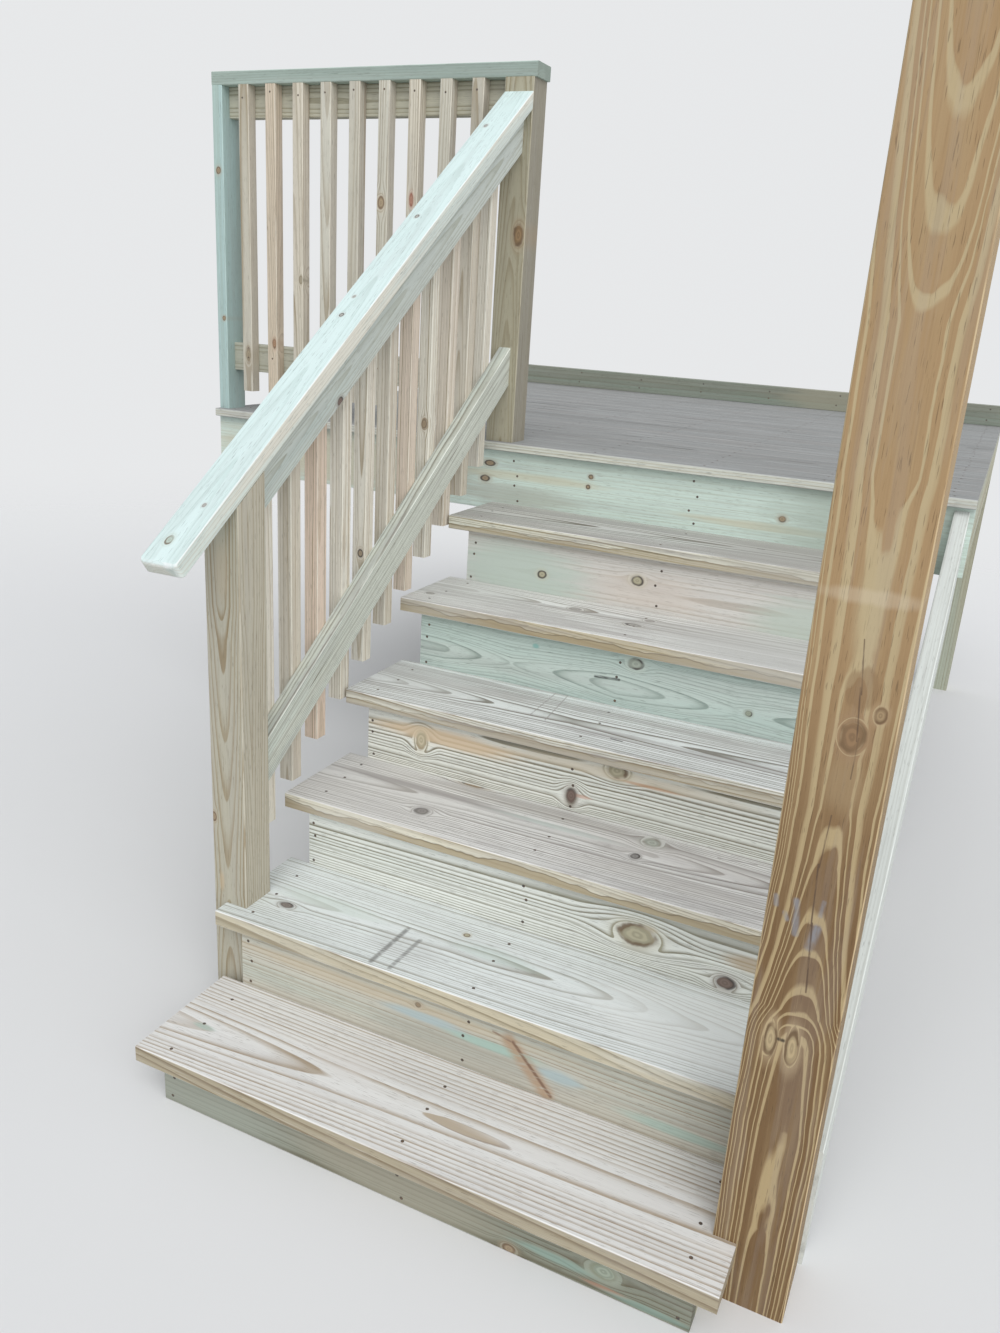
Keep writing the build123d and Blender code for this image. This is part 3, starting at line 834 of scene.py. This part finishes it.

# %% [markdown]
# The deck has greyed more than the rest, and its dark grey top also holds painted shade from the porch
# roof. The kickboard at its back is darker still, with painted shade under the eaves. Each board is told
# apart by its place. The framing under the landing is the same treated pine, plain and olive.

# %% Landing and framing
deck_low, deck_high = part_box("deck_boards")
deck_spacing = (deck_high.y - deck_low.y + deck_gap) / deck_board_count
# The deck's dark grey is partly weathering and partly painted shade under the porch roof.
dress("deck_boards", "x flat", 51, (0.335, 0.345, 0.345), (0.135, 0.135, 0.125),
    repeat=("y", deck_spacing, deck_board_count), contrast=1.1, piece_shades=0.15, streaks=0.45, stain=0.3,
    edge=((0.66, 0.685, 0.61), (0.43, 0.39, 0.29)))
# The kickboard's very dark colours are painted shade under the eaves.
dress("kickboard", "x edge", 52, (0.24, 0.255, 0.21), (0.15, 0.14, 0.1), contrast=0.6,
    tint=((0.22, 0.28, 0.23), 0.6), patches=[(0.45, 0.0, 0.28, 0.1, (0.34, 0.32, 0.24), 0.6)])
joist_low, joist_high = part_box("joists")
joist_spacing = (joist_high.x - joist_low.x - plank_thickness) / (joist_count - 1)
framing_look = dict(early=(0.46, 0.45, 0.34), late=(0.26, 0.23, 0.15), contrast=0.9, tint=(mint, 0.4))
dress("joists", "y edge", seed=60, heart=(0.0, 0.06), repeat=("x", joist_spacing, joist_count),
    piece_shades=0.2, **framing_look)
framing = {"support_posts": "z", "back_joist": "x edge", "stair_header": "x edge",
           "stringer_left": "pitch edge", "stringer_middle": "pitch edge", "stringer_right": "pitch edge"}
for number, (name, way) in enumerate(framing.items()):
    dress(name, way, seed=60 + number, **framing_look)
dress("side_board", "pitch edge", 70, (0.62, 0.65, 0.62), (0.45, 0.46, 0.42), contrast=0.5)
print("landing and framing dressed")

# %% [markdown]
# Nails hold the treads and risers to the stringers and the balusters to their rails. A nail head is a
# small disc with a rounded rim and a slight dish, built as rings of points. All heads of one board are
# one piece.

# %% Nail heads
head_sides = 14
head_rings = ((1.0, -0.0008), (1.0, 0.00015), (0.86, 0.00045), (0.45, 0.0003))
nail_look = Finish(bpy.data.materials.new("nail_metal"))
rust = nail_look.smooth(nail_look.noise(nail_look.place(), 300.0, 3.0), 0.4, 0.65)
nail_colour = nail_look.mix(rust, (0.10, 0.095, 0.09), (0.17, 0.11, 0.07))
nail_shader = nail_look.node("BsdfPrincipled", None, {
    "Base Color": nail_colour, "Metallic": rust * -0.6 + 0.8, "Roughness": rust * 0.3 + 0.45})
nail_look.node("OutputMaterial", None, {"Surface": nail_shader})


def place_object(name, builder, finish):
    """Turns a finished bmesh into an object with its material."""
    mesh = bpy.data.meshes.new(name)
    builder.to_mesh(mesh)
    builder.free()
    mesh.materials.append(finish.owner)
    made = bpy.data.objects.new(name, mesh)
    bpy.context.scene.collection.objects.link(made)
    return made


def nail_heads(name, spots, radius=0.0036):
    """One piece with a nail head at each spot, where a spot is a place and the way that it faces."""
    builder = bmesh.new()
    for place, facing in spots:
        upright = Vector(facing).normalized()
        sideways = upright.orthogonal().normalized()
        other = upright.cross(sideways)
        angles = [math.tau * step / head_sides for step in range(head_sides)]
        spokes = [sideways * math.cos(angle) + other * math.sin(angle) for angle in angles]
        loops = [[builder.verts.new(Vector(place) + spoke * radius * reach + upright * height)
                  for spoke in spokes] for reach, height in head_rings]
        for outer, inner in zip(loops, loops[1:]):
            for step in range(head_sides):
                after = (step + 1) % head_sides
                builder.faces.new((outer[step], outer[after], inner[after], inner[step]))
        builder.faces.new(loops[-1])
    heads = place_object(name, builder, nail_look)
    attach(heads, "root")
    print(name, len(spots))


print("nail heads ready, each of", head_sides * len(head_rings), "points")

# %% [markdown]
# The nails' places follow the stringers and joists, with the small misses of a real carpenter, drawn
# from a seeded random. Every landing baluster has a nail at its top and bottom.

# %% Nails of the steps and the landing's rail
chance = random.Random(7)
baluster_nail = 0.003
deck_nail = 0.0032


def miss(amount):
    """How far a hammered nail lands from where it was meant to go."""
    return chance.uniform(-amount, amount)


def on_board(node, lines, rows, along, aside, side="front"):
    """Spots where lines cross rows that lie round the middle of a board's face, with misses both ways."""
    low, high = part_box(node)
    if side == "top":
        middle = (low.y + high.y) / 2
        return [((x + miss(along), middle + row + miss(aside), high.z), (0, 0, 1))
                for x in lines for row in rows]
    middle = (low.z + high.z) / 2
    y, way = (low.y, -1) if side == "front" else (high.y, 1)
    return [((x + miss(along), y, middle + row + miss(aside)), (0, way, 0)) for x in lines for row in rows]


stringer_lines = []
for name in ("stringer_left", "stringer_middle", "stringer_right"):
    low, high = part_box(name)
    stringer_lines.append((low.x + high.x) / 2)
for number in range(1, step_count + 1):
    tread, riser = "tread_" + str(number), "riser_" + str(number)
    rows = (-0.10, 0.0, 0.085)
    nail_heads("nails_" + tread, on_board(tread, stringer_lines, rows, 0.008, 0.018, "top"))
    rows = (-0.028, 0.026) if number == 1 else (-0.040, 0.018, 0.058)
    nail_heads("nails_" + riser, on_board(riser, stringer_lines, rows, 0.008, 0.008))
rows = (-0.055, -0.02, 0.025, 0.07)
nail_heads("nails_rim", on_board("rim_joist", stringer_lines[:2], rows, 0.012, 0.01))
rail_low, rail_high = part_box("landing_top_rail")
foot_low, foot_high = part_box("landing_bottom_rail")
heights = ((rail_low.z + rail_high.z) / 2 + 0.015, (foot_low.z + foot_high.z) / 2)
first_centre = landing_low.x + baluster_side / 2
centres = [first_centre + number * landing_spacing for number in range(landing_baluster_count)]
spots = [((x + miss(0.004), landing_low.y, z + miss(0.008)), (0, -1, 0)) for x in centres for z in heights]
nail_heads("nails_landing_balusters", spots, baluster_nail)

# %% [markdown]
# The deck is nailed down over every joist, and each stair baluster is nailed to its two rails from the
# outer side. From behind, three nails go through the back joist into each joist, and the kickboard has
# its own along its length.

# %% Nails of the deck, the stair balusters and the frame
line_inset = 0.06
line_length = deck_high.x - deck_low.x - 2 * line_inset
deck_lines = [deck_low.x + line_inset + line_length * part / (joist_count - 1) for part in range(joist_count)]
deck_fronts = [deck_low.y + number * deck_spacing for number in range(deck_board_count)]
spots = [((x + miss(0.004), front + inward + miss(0.004), deck_high.z), (0, 0, 1))
         for front in deck_fronts for x in deck_lines for inward in (0.03, 0.11)]
nail_heads("nails_deck", spots, deck_nail)
spots = []
for number in range(stair_baluster_count):
    y = stair_low.y + baluster_side / 2 + number * stair_spacing
    for rail in ("stair_top_rail", "stair_bottom_rail"):
        low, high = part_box(rail)
        height = (low.z + high.z) / 2 + (y - (low.y + high.y) / 2) * rise / run
        spots.append(((stair_low.x, y + miss(0.004), height + miss(0.006)), (-1, 0, 0)))
nail_heads("nails_stair_balusters", spots, baluster_nail)
joist_lines = [joist_low.x + plank_thickness / 2 + number * joist_spacing for number in range(joist_count)]
spots = on_board("back_joist", joist_lines, (-0.06, 0.0, 0.06), 0.005, 0.008, "back")
nail_heads("nails_back", spots)
nail_heads("nails_kickboard", on_board("kickboard", deck_lines, (-0.018, 0.022), 0.01, 0.006))

# %% [markdown]
# The steps stand on a plain pale floor. It fades out into the world some metres away, so no horizon
# crosses the picture, and the camera sees the world as a plain pale backdrop. A pale world fills the
# shadows from all sides.

# %% Floor and world
floor_reaches = 30.0
fade_start, fade_end = 3.5, 9.0
floor_builder = bmesh.new()
bmesh.ops.create_grid(floor_builder, x_segments=1, y_segments=1, size=floor_reaches)
floor_look = Finish(bpy.data.materials.new("floor"))
floor = place_object("floor", floor_builder, floor_look)
away = floor_look.node("VectorMath", {"operation": "LENGTH"}, {0: floor_look.place()}, 1)
floor_paint = {"Base Color": (0.74, 0.745, 0.75, 1), "Roughness": 0.9}
floor_shader = floor_look.node("BsdfPrincipled", None, floor_paint)
floor_clear = floor_look.node("BsdfTransparent")
floor_far = floor_look.smooth(away, fade_start, fade_end)
floor_mixed = floor_look.node("MixShader", None, {0: floor_far, 1: floor_shader, 2: floor_clear})
floor_look.node("OutputMaterial", None, {"Surface": floor_mixed})

world = bpy.data.worlds.new("world")
bpy.context.scene.world = world
world_look = Finish(world)
sky_light = world_look.node("Background", None, {"Color": (0.95, 0.97, 1.0, 1), "Strength": 0.55})
backdrop = world_look.node("Background", None, {"Color": (0.80, 0.81, 0.82, 1)})
rays = world_look.outputs("LightPath")
seen = world_look.maths("MAXIMUM", rays["Is Camera Ray"], rays["Is Glossy Ray"])
seen = world_look.maths("MAXIMUM", seen, rays["Is Transmission Ray"])
world_mixed = world_look.node("MixShader", None, {0: seen, 1: sky_light, 2: backdrop})
world_look.node("OutputWorld", None, {"Surface": world_mixed})
print("floor and world ready")

# %% [markdown]
# A wide sun stands for the soft daylight overhead, and a second one, low on the right, brightens the
# faces that look that way.


# %% Lamps
def aimed_sun(name, place, energy, width):
    """A sun that looks at the steps from a place, as wide as so many degrees."""
    data = bpy.data.lights.new(name, "SUN")
    data.energy = energy
    data.angle = math.radians(width)
    lamp = bpy.data.objects.new(name, data)
    lamp.location = place
    lamp.rotation_euler = (steps_middle - Vector(place)).to_track_quat("-Z", "Y").to_euler()
    bpy.context.scene.collection.objects.link(lamp)


steps_middle = Vector((0, 1.0, 0.5))
aimed_sun("daylight", (1.6, -2.9, 5.2), 1.6, 50)
aimed_sun("yard_light", (5.0, -2.0, 2.0), 1.05, 60)
bpy.context.scene.view_settings.view_transform = "Standard"
print("lamps placed:", len(bpy.data.lights))
